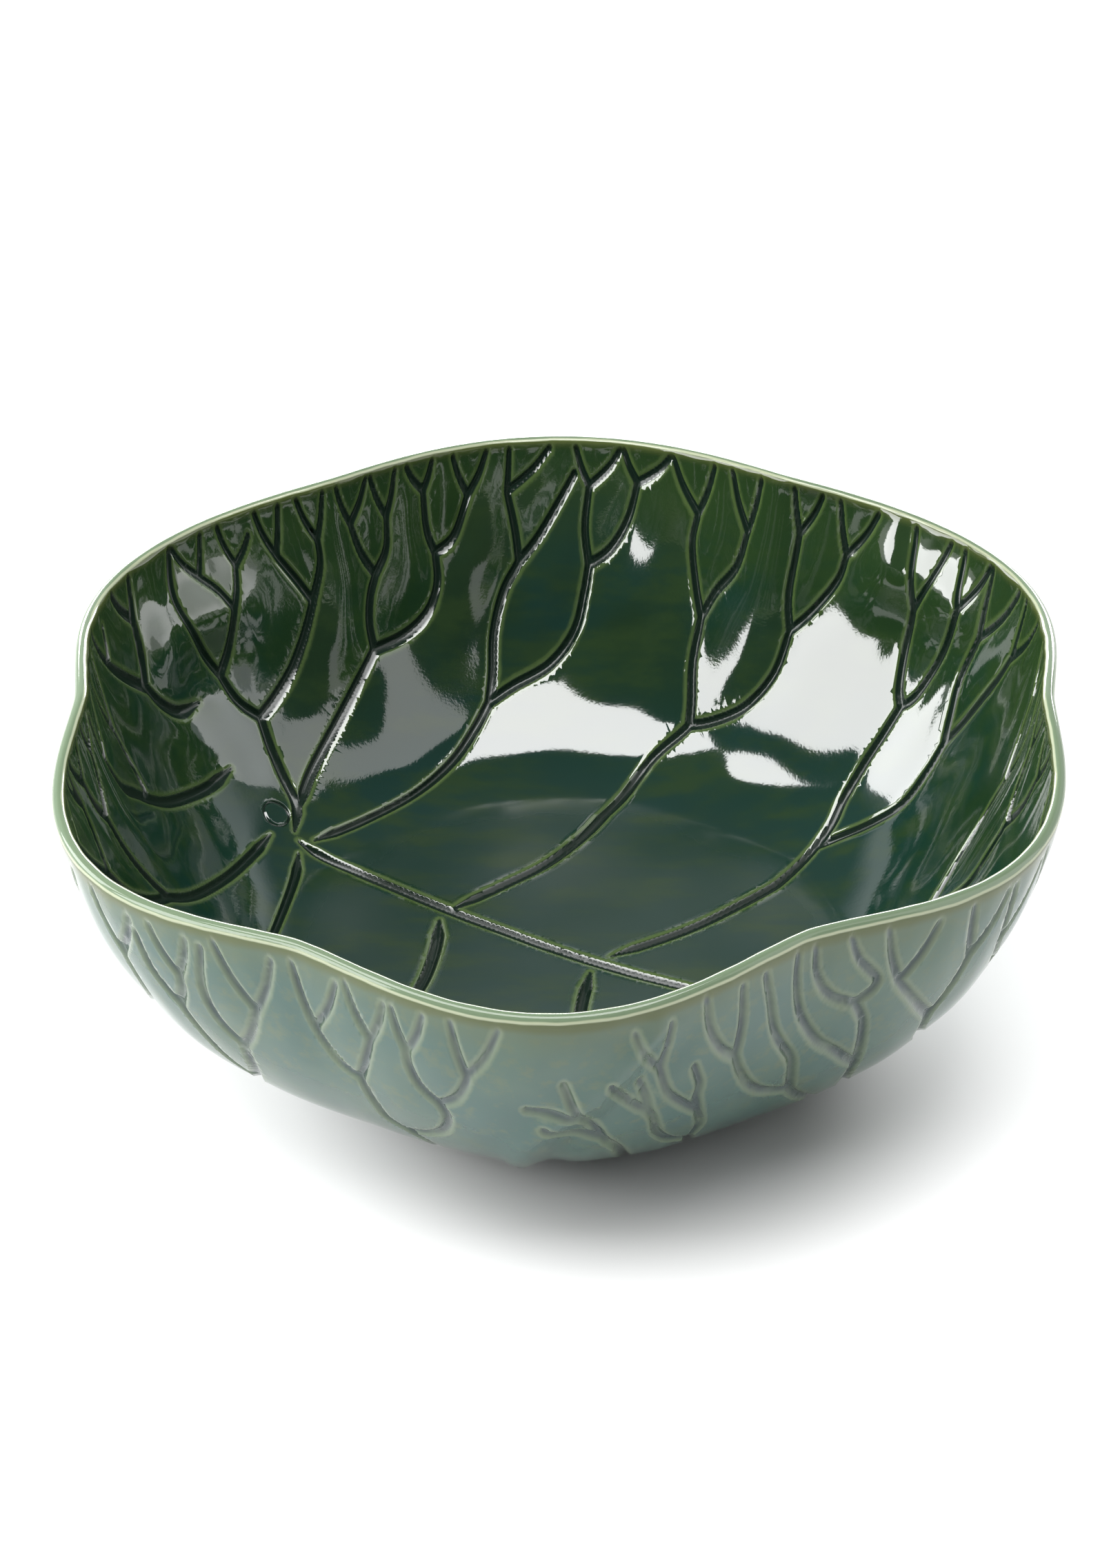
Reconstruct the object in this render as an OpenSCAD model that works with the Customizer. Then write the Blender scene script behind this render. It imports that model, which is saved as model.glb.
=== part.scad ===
// Leaf-shaped serving bowl of glazed earthenware, one piece with a six-lobed wavy rim.
// +Z is up. The origin is at the middle of the bowl's footprint, on the table.

/* [Size] */
// Height of the rim above the table, at a notch between two lobes
rim_height = 112.5; // [90:0.5:135]
// Radius of the rim at a notch
notch_radius = 157.3; // [140:0.1:180]
// Radius of the flat bottom, where the wall starts to rise
base_radius = 84; // [80:1:95]

/* [Lobes] */
// Number of lobes round the rim
lobe_count = 6; // [3:1:8]
// How far a lobe stands out past the notches
lobe_reach = 14; // [0:0.5:18]
// How far the rim dips at the middle of a lobe
lobe_drop = 4.5; // [0:0.5:8]
// Roundness of a lobe: lower is broader, with a tighter notch
lobe_roundness = 0.8; // [0.7:0.05:1.5]
// How quickly a lobe fades down the wall: higher keeps it near the rim
lobe_fade = 1.5; // [1:0.1:3]
// Extra reach of the rim along one diagonal, taken off the other
diagonal_stretch = 2.3; // [0:0.1:4]
// Extra reach of the rim at every third of a turn
third_stretch = 1.4; // [0:0.1:3]

/* [Wall] */
// Thickness of the wall at the rim
rim_thickness = 4.6; // [3.6:0.2:6]
// Thickness of the floor
floor_thickness = 6; // [5:0.5:8]
// Slope of the wall at the rim, in degrees of turn of its curve from flat
wall_turn = 75; // [65:1:82]

/* [Foot ring] */
// Height of the foot ring under the floor
foot_height = 2.5; // [1.5:0.5:5]
// Outer radius of the foot ring
foot_radius = 78; // [70:1:78]
// Width of the foot ring
foot_width = 8; // [5:1:12]

/* [Fineness] */
// Steps round the rim
steps_round = 72; // [48:12:96]
// Rings up each side of the wall
wall_rings = 18; // [12:1:20]

/* [Hidden] */
outer_glaze = "#9fb0a2";
foot_edge = 0.8;
roll_steps = 8;
thinning = 0.7;
slope_step = 0.001;
angles = [for (i = [0 : steps_round - 1]) 360 * i / steps_round];

// 0 at a notch, 1 at the middle of a lobe
function lobe(a) = pow(0.5 - 0.5 * cos(lobe_count * a), lobe_roundness);
function rim_radius(a) =
    notch_radius + lobe_reach * lobe(a) + diagonal_stretch * sin(2 * a) + third_stretch * cos(3 * a);
function rim_top(a) = rim_height - lobe_drop * lobe(a);

// The outside of the wall, as [radius, height]: s runs from 0 at the flat bottom to 1 at the rim
function wall_out(s) = sin(s * wall_turn) / sin(wall_turn);
function wall_up(s) = (1 - cos(s * wall_turn)) / (1 - cos(wall_turn));
function outside(s, a) = [
    base_radius + (notch_radius - base_radius) * wall_out(s)
        + (rim_radius(a) - notch_radius) * pow(wall_out(s), lobe_fade),
    foot_height + (rim_top(a) - foot_height) * wall_up(s)
];

// Unit direction up the wall, and square to it out of the wall
function up_wall(s, a) =
    let (c = min(max(s, slope_step), 1 - slope_step),
         d = outside(c + slope_step, a) - outside(c - slope_step, a))
    d / norm(d);
function off_wall(s, a) = let (u = up_wall(s, a)) [u[1], -u[0]];

function thickness(s) = floor_thickness + (rim_thickness - floor_thickness) * pow(s, thinning);
function inside(s, a) = outside(s, a) - thickness(s) * off_wall(s, a);

// The wall stops short of the rim, and a half-round roll brings it to its full height
rise_at_rim = (outside(1, 0)[1] - outside(1 - slope_step, 0)[1]) / slope_step;
wall_end = 1 - rim_thickness / 2 * (1 + cos(wall_turn)) / rise_at_rim;
function roll(turn, a) =
    let (half = thickness(wall_end) / 2,
         middle = outside(wall_end, a) - half * off_wall(wall_end, a))
    middle + half * (cos(turn) * off_wall(wall_end, a) + sin(turn) * up_wall(wall_end, a));

// One section of the bowl at the angle a, from under the floor, round the rim, to the floor inside
foot_inner = foot_radius - foot_width;
function section(a) = concat(
    [
        [foot_inner, foot_height],
        [foot_inner, foot_edge],
        [foot_inner + foot_edge, 0],
        [foot_radius - foot_edge, 0],
        [foot_radius, foot_edge],
        [foot_radius, foot_height]
    ],
    [for (i = [0 : wall_rings]) outside(wall_end * i / wall_rings, a)],
    [for (i = [1 : roll_steps - 1]) roll(180 * i / roll_steps, a)],
    [for (i = [wall_rings : -1 : 0]) inside(wall_end * i / wall_rings, a)]
);

ring_count = len(section(0));
plan_points = [for (a = angles) for (p = section(a)) [p[0] * cos(a), p[0] * sin(a), p[1]]];
xs = [for (p = plan_points) p[0]];
ys = [for (p = plan_points) p[1]];
plan_middle = [(min(xs) + max(xs)) / 2, (min(ys) + max(ys)) / 2, 0];

// Two triangles for each step round and each step along the section, and a fan over each end
function corner(i, j) = (i % steps_round) * ring_count + j;
under_middle = len(plan_points);
floor_middle = under_middle + 1;
bowl_points = concat(plan_points, [[0, 0, foot_height], [0, 0, foot_height + floor_thickness]]);
bowl_faces = [
    for (i = [0 : steps_round - 1]) for (f = concat(
        [[under_middle, corner(i, 0), corner(i + 1, 0)]],
        [for (j = [0 : ring_count - 2]) [corner(i, j), corner(i, j + 1), corner(i + 1, j)]],
        [for (j = [0 : ring_count - 2]) [corner(i, j + 1), corner(i + 1, j + 1), corner(i + 1, j)]],
        [[corner(i, ring_count - 1), floor_middle, corner(i + 1, ring_count - 1)]]
    )) f
];

module bowl() {
    color(outer_glaze)
        translate(-plan_middle)
            polyhedron(points = bowl_points, faces = bowl_faces, convexity = 4);
}

bowl();
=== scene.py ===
import math

import bpy
import numpy as np
from mathutils import Matrix


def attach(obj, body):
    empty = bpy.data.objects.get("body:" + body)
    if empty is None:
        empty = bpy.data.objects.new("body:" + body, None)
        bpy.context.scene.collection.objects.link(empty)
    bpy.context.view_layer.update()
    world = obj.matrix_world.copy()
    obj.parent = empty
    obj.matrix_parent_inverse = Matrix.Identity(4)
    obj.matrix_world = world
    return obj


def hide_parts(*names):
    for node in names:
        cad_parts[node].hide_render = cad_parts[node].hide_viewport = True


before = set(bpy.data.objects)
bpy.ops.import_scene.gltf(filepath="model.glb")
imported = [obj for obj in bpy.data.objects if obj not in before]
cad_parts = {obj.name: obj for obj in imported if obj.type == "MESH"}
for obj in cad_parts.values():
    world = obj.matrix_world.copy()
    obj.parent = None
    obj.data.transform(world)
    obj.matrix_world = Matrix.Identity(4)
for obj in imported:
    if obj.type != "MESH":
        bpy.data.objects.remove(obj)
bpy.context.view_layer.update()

# A leaf-shaped serving bowl of glazed earthenware. The CAD node is a plain shell. This script makes the
# same shell as one fine mesh, with the leaf's veins cut into both sides, and glazes it.
# Sizes are in millimetres, and the mesh is scaled to metres at the end.
#
# Both sides of the bowl are drawn on the leaf laid flat: a point there has a direction, in degrees from
# +X, and a reach, in millimetres along the surface from the middle of the bowl.

MM = 0.001


def smooth(t):
    """Goes from 0 to 1 as t does, and is level at both ends."""
    return t * t * (3 - 2 * t)


# ---- The bowl's section, as in CAD but for a softer start of the thinning ----

RIM_HEIGHT = 112.5
NOTCH_RADIUS = 157.3
BASE_RADIUS = 84.0
LOBES = 6
LOBE_REACH = 14.0
LOBE_DROP = 4.5
LOBE_ROUNDNESS = 0.8
LOBE_FADE = 1.5
DIAGONAL_STRETCH = 2.3
THIRD_STRETCH = 1.4
RIM_THICKNESS = 4.6
FLOOR_THICKNESS = 6.0
THINNING = 0.7
THINNING_START = 0.12
WALL_TURN = math.radians(75)
FOOT_HEIGHT = 2.5
FOOT_RADIUS = 78.0
FOOT_WIDTH = 8.0
FOOT_EDGE = 0.8

WALL_REACH = 130.0  # along the flat leaf, from the floor's edge to the rim
SLOPE_STEP = 0.001


def lobe(a):
    """0 at a notch of the rim, 1 at the middle of a lobe."""
    return (0.5 - 0.5 * np.cos(LOBES * a)) ** LOBE_ROUNDNESS


def outside(s, a):
    """The outside of the wall, as radius and height: s runs from 0 at the flat bottom to 1 at the rim."""
    rim_radius = NOTCH_RADIUS + LOBE_REACH * lobe(a)
    rim_radius = rim_radius + DIAGONAL_STRETCH * np.sin(2 * a) + THIRD_STRETCH * np.cos(3 * a)
    rim_top = RIM_HEIGHT - LOBE_DROP * lobe(a)
    out = np.sin(s * WALL_TURN) / math.sin(WALL_TURN)
    up = (1 - np.cos(s * WALL_TURN)) / (1 - math.cos(WALL_TURN))
    radius = BASE_RADIUS + (NOTCH_RADIUS - BASE_RADIUS) * out + (rim_radius - NOTCH_RADIUS) * out**LOBE_FADE
    return radius, FOOT_HEIGHT + (rim_top - FOOT_HEIGHT) * up


def up_wall(s, a):
    """Unit direction up the wall, as radius and height."""
    middle = np.clip(s, SLOPE_STEP, 1 - SLOPE_STEP)
    r0, z0 = outside(middle - SLOPE_STEP, a)
    r1, z1 = outside(middle + SLOPE_STEP, a)
    length = np.hypot(r1 - r0, z1 - z0)
    return (r1 - r0) / length, (z1 - z0) / length


def thinned(s):
    """How far the wall has thinned at s, in no particular unit. It starts gently, over THINNING_START."""
    return (s * s + THINNING_START**2) ** (THINNING / 2) - THINNING_START**THINNING


def thickness(s):
    """Thickness of the clay, which thins from the floor's edge to the rim."""
    return FLOOR_THICKNESS + (RIM_THICKNESS - FLOOR_THICKNESS) * thinned(s) / thinned(1.0)


# The wall stops short of the rim, and a half-round roll brings it to its full height.
RISE_AT_RIM = (outside(1.0, 0.0)[1] - outside(1.0 - SLOPE_STEP, 0.0)[1]) / SLOPE_STEP
WALL_END = 1 - RIM_THICKNESS / 2 * (1 + math.cos(WALL_TURN)) / RISE_AT_RIM
ROLL_HALF = thickness(WALL_END) / 2
ROLL_START = BASE_RADIUS + WALL_REACH * WALL_END
CREST = ROLL_START + ROLL_HALF * math.pi / 2

# The underside, as (reach, radius, height): the hollow under the floor, the foot ring, and out to the wall
FOOT_INNER = FOOT_RADIUS - FOOT_WIDTH
UNDERSIDE = np.array([
    (0.0, 0.0, FOOT_HEIGHT),
    (FOOT_INNER - 6, FOOT_INNER - 4, FOOT_HEIGHT),
    (FOOT_INNER - 2.6, FOOT_INNER - 1.0, FOOT_HEIGHT - 0.2),
    (FOOT_INNER - 1.2, FOOT_INNER - 0.1, FOOT_HEIGHT - 1.0),
    (FOOT_INNER, FOOT_INNER + 0.2, FOOT_EDGE),
    (FOOT_INNER + 1.1, FOOT_INNER + FOOT_EDGE, 0.0),
    (FOOT_RADIUS - 1.1, FOOT_RADIUS - FOOT_EDGE, 0.0),
    (FOOT_RADIUS, FOOT_RADIUS - 0.2, FOOT_EDGE),
    (FOOT_RADIUS + 1.2, FOOT_RADIUS + 0.2, FOOT_HEIGHT - 1.0),
    (FOOT_RADIUS + 2.6, FOOT_RADIUS + 1.2, FOOT_HEIGHT - 0.2),
    (BASE_RADIUS, BASE_RADIUS, FOOT_HEIGHT),
])


def section(reach, a, inside):
    """Radius and height of the bowl's inner or outer face at that reach and angle (in radians)."""
    s = np.clip((reach - BASE_RADIUS) / WALL_REACH, 0, WALL_END)
    r, z = outside(s, a)
    up_r, up_z = up_wall(s, a)
    off_r = up_z
    off_z = -up_r
    depth = thickness(s)
    turn = np.clip((reach - ROLL_START) / ROLL_HALF, 0, math.pi / 2)
    side = -1 if inside else 1
    middle_r = r - depth / 2 * off_r
    middle_z = z - depth / 2 * off_z
    r = middle_r + depth / 2 * (side * np.cos(turn) * off_r + np.sin(turn) * up_r)
    z = middle_z + depth / 2 * (side * np.cos(turn) * off_z + np.sin(turn) * up_z)
    on_base = reach < BASE_RADIUS
    if inside:
        return np.where(on_base, reach, r), np.where(on_base, FOOT_HEIGHT + FLOOR_THICKNESS, z)
    base_r = np.interp(reach, UNDERSIDE[:, 0], UNDERSIDE[:, 1])
    base_z = np.interp(reach, UNDERSIDE[:, 0], UNDERSIDE[:, 2])
    return np.where(on_base, base_r, r), np.where(on_base, base_z, z)


def plain_face(flat, inside):
    """Points of the leaf laid flat, put on the bowl's plain inner or outer face."""
    reach = np.minimum(np.hypot(flat[:, 0], flat[:, 1]), CREST)
    a = np.arctan2(flat[:, 1], flat[:, 0])
    r, z = section(reach, a, inside)
    return np.stack([r * np.cos(a), r * np.sin(a), z], 1)


def face_normals(flat, inside):
    """Unit normals of the plain face, out of the clay."""
    step = 0.2
    away = np.hypot(flat[:, 0], flat[:, 1])[:, None]
    along = np.where(away > 1, flat / np.maximum(away, 1), [1.0, 0.0])
    across = np.stack([-along[:, 1], along[:, 0]], 1)
    # The step outwards is taken back from the point, so that it never passes the crest of the rim.
    out = plain_face(flat, inside) - plain_face(flat - step * along, inside)
    round_ = plain_face(flat + step * across, inside) - plain_face(flat - step * across, inside)
    n = np.cross(out, round_)
    n /= np.linalg.norm(n, axis=1, keepdims=True)
    return n if inside else -n


# ---- The veins ----


def xy(*points):
    """A path on the flat leaf through (x, y) points."""
    return [np.array(p, float) for p in points]


def wall(*points):
    """A path on the flat leaf through (direction, reach) points."""
    return [reach * np.array([math.cos(math.radians(a)), math.sin(math.radians(a))]) for a, reach in points]


def limb(path, *shoots):
    """A stretch of vein, and the limbs that go on from its end."""
    return {"path": path, "shoots": shoots}


def fork(points, *tips):
    """A limb that ends in twigs, one to each tip: a direction at the reach TIP, or (direction, reach)."""
    places = [tip if isinstance(tip, tuple) else (tip, TIP) for tip in tips]
    return limb(wall(*points), *[limb(wall(place)) for place in places])


def moved(tree, change):
    """The same tree with every point put through change."""
    return {
        "path": [change(p) for p in tree["path"]],
        "shoots": [moved(shoot, change) for shoot in tree["shoots"]],
    }


# The leaf's stem joins at the hub. Its midrib runs from there along the axis, and the side veins mirror
# each other.
AXIS_ANGLE = math.radians(-30)
AXIS_ACROSS = np.array([-math.sin(AXIS_ANGLE), math.cos(AXIS_ANGLE)])
AXIS_OFFSET = 9.5
HUB = (-97, 68)
TIP = 211


def mirrored(p):
    """The point across the leaf's axis, at the same reach, so that mirrored twigs also end at the rim."""
    other = p - 2 * (p @ AXIS_ACROSS - AXIS_OFFSET) * AXIS_ACROSS
    return other * np.hypot(*p) / np.hypot(*other)


def turned(angle):
    c, s = math.cos(math.radians(angle)), math.sin(math.radians(angle))
    return lambda p: np.array([c * p[0] - s * p[1], s * p[0] + c * p[1]])


# Far side of the leaf, from the tip back to the stem: the limbs of each side vein
FIRST_LIMBS = [
    limb(
        wall((35.5, 122), (37.2, 132), (38, 146), (37.8, 157), (37.5, 165)),
        fork([(39, 170), (40.2, 180), (40.5, 191)], 42.8, 38),
        fork([(36.2, 169), (35.2, 178), (34.3, 190), (34.1, 197)], 35.9, 31.8),
    ),
    limb(
        wall((32, 120), (29.5, 130), (27.4, 142), (27.6, 154), (28, 164)),
        fork([(29.5, 171), (30.7, 181), (30.3, 193)], 31.3, 25.5),
        fork([(27, 170), (25.5, 180), (23.8, 190), (23, 196)], 23.5, 18.5),
    ),
]
SECOND_LIMBS = [
    limb(
        wall((69.3, 146), (70.3, 158), (70.2, 171)),
        fork([(71.6, 179), (72.8, 190), (72.4, 198)], 76.2, 70.6),
        fork([(68.5, 179), (66, 187), (65, 197)], 68, 63.8),
    ),
    limb(
        wall((65, 141), (60.3, 149), (57.3, 161), (56.6, 174)),
        fork([(57.8, 184), (57.7, 200)], 59, 55.2),
        fork([(54, 181), (51.5, 191), (51, 198)], 52.8, 47.8),
    ),
]
THIRD_LIMBS = [
    limb(
        wall((100, 150), (99.2, 162), (97.5, 173), (95.2, 181)),
        fork([(95.6, 190), (96.4, 200)], 96, 91.2),
        limb(wall((92.8, 187), (90, 197), (88.3, 204))),
    ),
    limb(
        wall((97, 145), (91.5, 151), (88, 161), (86.8, 172), (86.3, 180)),
        fork([(86.9, 190), (86.5, 201)], 88.1, 82.9),
        fork([(83.7, 184.5), (81.6, 193), (80.6, 203)], 82.4, 76.6),
    ),
]
FOURTH_LIMBS = [
    limb(
        wall((117.6, 174), (116.7, 181), (115.4, 186)),
        fork([(117.2, 193), (118.2, 201)], 119.8, 115.3),
        fork([(113.3, 192), (112.7, 200)], 114.6, 111),
    ),
    limb(
        wall((112, 167.5), (108.3, 172), (106.5, 179), (106.3, 187)),
        fork([(107.2, 194), (107.2, 204)], 109.3, 105.8),
        fork([(103.5, 190.5), (101.3, 200.5)], 103, 98.8),
    ),
]
FIFTH_LIMBS = [
    limb(
        wall((140, 165), (141, 174)),
        limb(wall((143, 185), (144.3, 198), (143, TIP))),
        limb(
            wall((138.7, 180), (136.6, 190)),
            fork([(138, 196), (139.8, 201)], 142.6, 138.4),
            fork([(135.4, 195), (134.6, 200)], 136, (132.2, 206)),
        ),
    ),
    limb(
        wall((134.5, 161.5), (130.5, 168), (127.5, 176), (125.3, 184)),
        fork([(127, 191), (129, 198.5)], 131, 127.9),
        fork([(123.4, 193), (123.2, 199.5)], 125.4, 121.8),
    ),
]
# The leaf's tip, and the side veins next to it
TIP_LIMBS = [
    limb(
        wall((-22, 142), (-19.5, 155), (-19, 168), (-19.3, 178)),
        fork([(-17.2, 188), (-16.6, 199)], -14.5, -18.2),
        fork([(-21.2, 189), (-21.8, 200)], -20.4, -24),
    ),
    limb(
        wall((-28.5, 142), (-32, 155), (-33, 168), (-32.5, 178)),
        fork([(-30.4, 188), (-29.6, 199)], -27.6, -31.2),
        fork([(-34.6, 189), (-35.4, 200)], -33.8, -37.6),
    ),
]
NEXT_LIMBS = [
    limb(
        wall((3, 147), (6, 158), (7.2, 170), (7, 180)),
        fork([(9.4, 189), (10.6, 200)], 13.6, 9),
        fork([(4.8, 189), (4, 200)], 6, 2.4),
    ),
    limb(
        wall((-2, 147), (-3.4, 158), (-3, 170), (-3.2, 180)),
        fork([(-1.2, 189), (-1, 200)], 0.4, -3),
        fork([(-6, 189), (-7.4, 200)], -5.6, -10),
    ),
]


def mirror_all(limbs):
    return [moved(one, mirrored) for one in limbs]


INNER_VEINS = [
    limb(xy((-95, 64), (-70, 50), (-38, 28), (0, 4), (22, -8), (48, -20), (85, -39), (118, -57)), *TIP_LIMBS),
    limb(xy((62, -26), (90, -23), (116, -14), (138, 0)), *NEXT_LIMBS),
    limb(xy((17, 1), (45, 18), (72, 41), (92, 62)), *FIRST_LIMBS),
    limb(xy((-36, 28), (-20, 41), (-5, 54), (8, 71), (20, 92), (34, 115), (50, 128)), *SECOND_LIMBS),
    limb(xy((-89, 66), (-73, 79), (-55, 97), (-41, 114), (-33, 127), (-27, 138)), *THIRD_LIMBS),
    limb(xy((-97, 78), (-95, 95), (-90, 114), (-83, 134), (-77, 147)), *FOURTH_LIMBS),
    limb(xy(HUB, (-98, 80), (-105, 90), (-112, 99), (-117, 106)), *FIFTH_LIMBS),
    # Two veins that start alone in the far wall, beyond the hub
    limb(
        wall((145.8, 170.5), (149.5, 171.5), (152, 177), (153.5, 184)),
        fork([(156.5, 190), (160, 198)], 163.5, (158.8, 207)),
        fork([(152.2, 192), (151.4, 201)], 154.5, 150.3),
    ),
    limb(
        wall((146.6, 149), (152, 149), (158, 153), (163, 158.5), (167, 165.5)),
        fork([(171, 173), (176, 182), (178.5, 192)], (180.5, 207), (175.5, 208)),
        fork([(166.6, 176), (167.4, 188)], (171.5, 207), (166, 208)),
    ),
    # The near side of the leaf
    limb(
        xy((-106, 63), (-112, 51), (-121, 36), (-132, 20), (-144, 2), (-151, -8)),
        limb(
            wall((184.3, 161), (185.6, 174), (186.3, 186)),
            fork([(188, 192.5), (189, 201)], 191.8, 187.8),
            fork([(184.3, 194), (183.3, 202)], 185, 181.5),
        ),
        limb(
            wall((187.5, 158), (191.5, 168), (193.5, 179)),
            fork([(192, 190), (191.8, 199)], 194.8, 193),
            fork([(196.5, 188), (199, 198)], 202, 197.5),
        ),
    ),
    limb(xy((-94, 58), (-94, 44), (-98, 22), (-104, 2), (-112, -14), (-122, -29)), *mirror_all(THIRD_LIMBS)),
    limb(xy((-40, 22), (-41, 6), (-45, -14), (-53, -34), (-63, -52), (-76, -90)), *mirror_all(SECOND_LIMBS)),
    limb(xy((10, -8), (7, -27), (5, -50), (3, -72), (1, -94)), *mirror_all(FIRST_LIMBS)),
    limb(xy((52, -20), (62, -44), (66, -72), (69, -108)), *mirror_all(NEXT_LIMBS)),
]

# Outside, the veins climb from under the bowl. These are the front ones.
OUTER_FRONT = [
    limb(
        wall((200, 108), (208, 121), (215, 126), (221, 134), (224.5, 145)),
        limb(
            wall((227, 156), (228.8, 171)),
            fork([(231, 178), (233.3, 189)], (236.8, 207), (230, 209)),
            limb(wall((227, 181), (226.8, 192), (228.2, 206))),
        ),
        limb(
            wall((222.8, 155), (222.3, 168), (221.7, 181)),
            fork([(223.4, 188), (224, 194)], (226.4, 207), (221.8, 208)),
            limb(wall((219.8, 191), (219.3, 203))),
        ),
    ),
    limb(
        wall((208, 121), (205, 132), (207, 146), (209, 158)),
        fork([(213.5, 170), (214.8, 181), (214.8, 192)], (218.8, 207), (213, 209)),
        fork([(206, 170), (204.6, 182), (204.8, 192)], (208, 207), (202.5, 209)),
    ),
    limb(
        wall((250, 108), (251.5, 124), (251, 138), (249, 147)),
        limb(
            wall((252.5, 151), (255.2, 158), (256.6, 168), (256, 175)),
            fork([(258.2, 180), (259.6, 187), (260, 191)], (263.7, 209), (258.7, 209)),
            fork([(254, 181), (253.1, 189), (253.2, 194)], (255.6, 208), (252, 207)),
        ),
        limb(
            wall((246.8, 153), (246.2, 162), (245.5, 174)),
            fork([(246.6, 180), (248.6, 193)], (251, 207), (246.3, 209)),
            fork([(243.4, 177), (241.6, 184), (240.8, 189)], (245, 207), (239.4, 208)),
        ),
    ),
    limb(
        wall((284, 106), (281, 120), (279, 136), (277.5, 150), (275.2, 161)),
        limb(
            wall((274, 169), (272.5, 175.5)),
            limb(wall((271.4, 183), (270.4, 191))),
            limb(wall((270, 179), (266.3, 180))),
        ),
        limb(wall((271.6, 166), (268.2, 171.5))),
    ),
    limb(
        wall((294, 106), (291, 120), (289.4, 132), (288.4, 140)),
        limb(
            wall((284.8, 147), (282.4, 157), (281.2, 168), (280.4, 173)),
            limb(wall((277.6, 180), (275.4, 190))),
            limb(wall((279.8, 180), (278.8, 188))),
        ),
        limb(
            wall((288.8, 152), (287.4, 164)),
            limb(wall((286.6, 172), (286.6, 178), (285.4, 187))),
            fork([(285, 171), (282.4, 180), (281.2, 190)], (281.8, 206), (277.8, 206)),
        ),
    ),
    limb(
        wall((319, 106), (314.6, 120), (311.5, 131), (306, 144), (303, 153)),
        limb(wall((301.7, 163), (300.4, 172), (296.6, 186), (294.6, 200), (293.6, 208))),
        limb(
            wall((299, 157), (295.6, 164), (292.6, 175), (291, 184)),
            limb(wall((291, 196), (290.5, 208))),
            limb(wall((288.4, 191), (286.6, 200), (285.8, 210))),
        ),
    ),
    limb(
        wall((342, 110), (335, 114), (328, 120), (319, 129), (314.4, 142), (312.4, 157)),
        limb(
            wall((311, 168), (309.4, 180), (307.4, 188)),
            limb(wall((303.6, 193), (301.2, 201), (300.4, 210))),
            limb(wall((309.6, 194), (306.4, 203), (305, 210))),
        ),
        limb(wall((307.4, 168.5), (303.4, 177), (299.8, 190), (298.4, 201), (298, 210))),
    ),
    limb(
        wall((336, 128), (328, 146), (323, 158), (321, 170)),
        fork([(316.6, 181), (312.6, 192)], (309.6, 210), (316, 208)),
        fork([(322, 181), (322.6, 192)], (326, 208), (320.6, 209)),
    ),
]
HALF_TURN = 180
OUTER_VEINS = OUTER_FRONT + [moved(tree, turned(HALF_TURN)) for tree in OUTER_FRONT]
# Two more stand in the gaps at the sides.
SIDE_TREE = OUTER_FRONT[2]
SIDE_TURNS = (-272, -93)
OUTER_VEINS += [moved(SIDE_TREE, turned(angle)) for angle in SIDE_TURNS]

# Half widths in millimetres at the start of a trunk, a limb and so on, and depth as a share of the half width
INNER_HALVES = (2.5, 2.3, 2.0, 1.7, 1.6)
OUTER_HALVES = (2.6, 2.4, 2.3, 2.1, 1.9)
TAPER = 0.88
TWIG_TAPER = 0.85
INNER_DEEP = 0.8
OUTER_DEEP = 0.62
FULLNESS = 0.8  # under 1, a groove keeps its depth nearer to its lips
PATH_STEP = 1.0
TRUNK_START = 0.35  # share of its width that a trunk starts with
TRUNK_GROWTH = 14.0  # length over which it would grow by its whole width
# A twig bends at these shares of its way, in direction and in reach.
TWIG_SWING = 0.62
TWIG_CLIMB = 0.5


def smooth_path(points, step=PATH_STEP):
    """Points every step or so along a Catmull-Rom curve through the given points."""
    points = np.array(points)
    if len(points) < 2:
        return points
    ends = np.vstack([2 * points[0] - points[1], points, 2 * points[-1] - points[-2]])
    pieces = []
    for i in range(len(points) - 1):
        p0, p1, p2, p3 = ends[i : i + 4]
        n = max(2, int(np.linalg.norm(p2 - p1) / step))
        t = (np.arange(n) / n)[:, None]
        square = 2 * p0 - 5 * p1 + 4 * p2 - p3
        cube = 3 * p1 - p0 - 3 * p2 + p3
        pieces.append(0.5 * (2 * p1 + (p2 - p0) * t + square * t**2 + cube * t**3))
    pieces.append(points[-1:])
    return np.vstack(pieces)


def bowed(start, tip):
    """A twig from start to tip that swings out first and then climbs."""
    reach = (1 - TWIG_CLIMB) * np.hypot(*start) + TWIG_CLIMB * np.hypot(*tip)
    a0 = math.atan2(start[1], start[0])
    turn = (math.atan2(tip[1], tip[0]) - a0 + math.pi) % (2 * math.pi) - math.pi
    a = a0 + TWIG_SWING * turn
    return [start, reach * np.array([math.cos(a), math.sin(a)]), tip]


def grow(tree, halves, strokes, start=None, level=0):
    """Adds the tree's strokes, each (points, half widths), from the trunk up."""
    path = tree["path"]
    if start is not None:
        path = bowed(start, path[0]) if len(path) == 1 else [start] + path
    points = smooth_path(path)
    first = halves[min(level, len(halves) - 1)]
    last = first * (TAPER if tree["shoots"] else TWIG_TAPER)
    share = np.linspace(0, 1, len(points))
    widths = first + (last - first) * share**2
    if level == 0:
        widths = widths * np.clip(TRUNK_START + len(points) * share / TRUNK_GROWTH, 0, 1)
    strokes.append((points, widths))
    for shoot in tree["shoots"]:
        grow(shoot, halves, strokes, points[-1], level + 1)


def strokes_of(trees, halves):
    strokes = []
    for tree in trees:
        grow(tree, halves, strokes)
    return strokes


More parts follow.
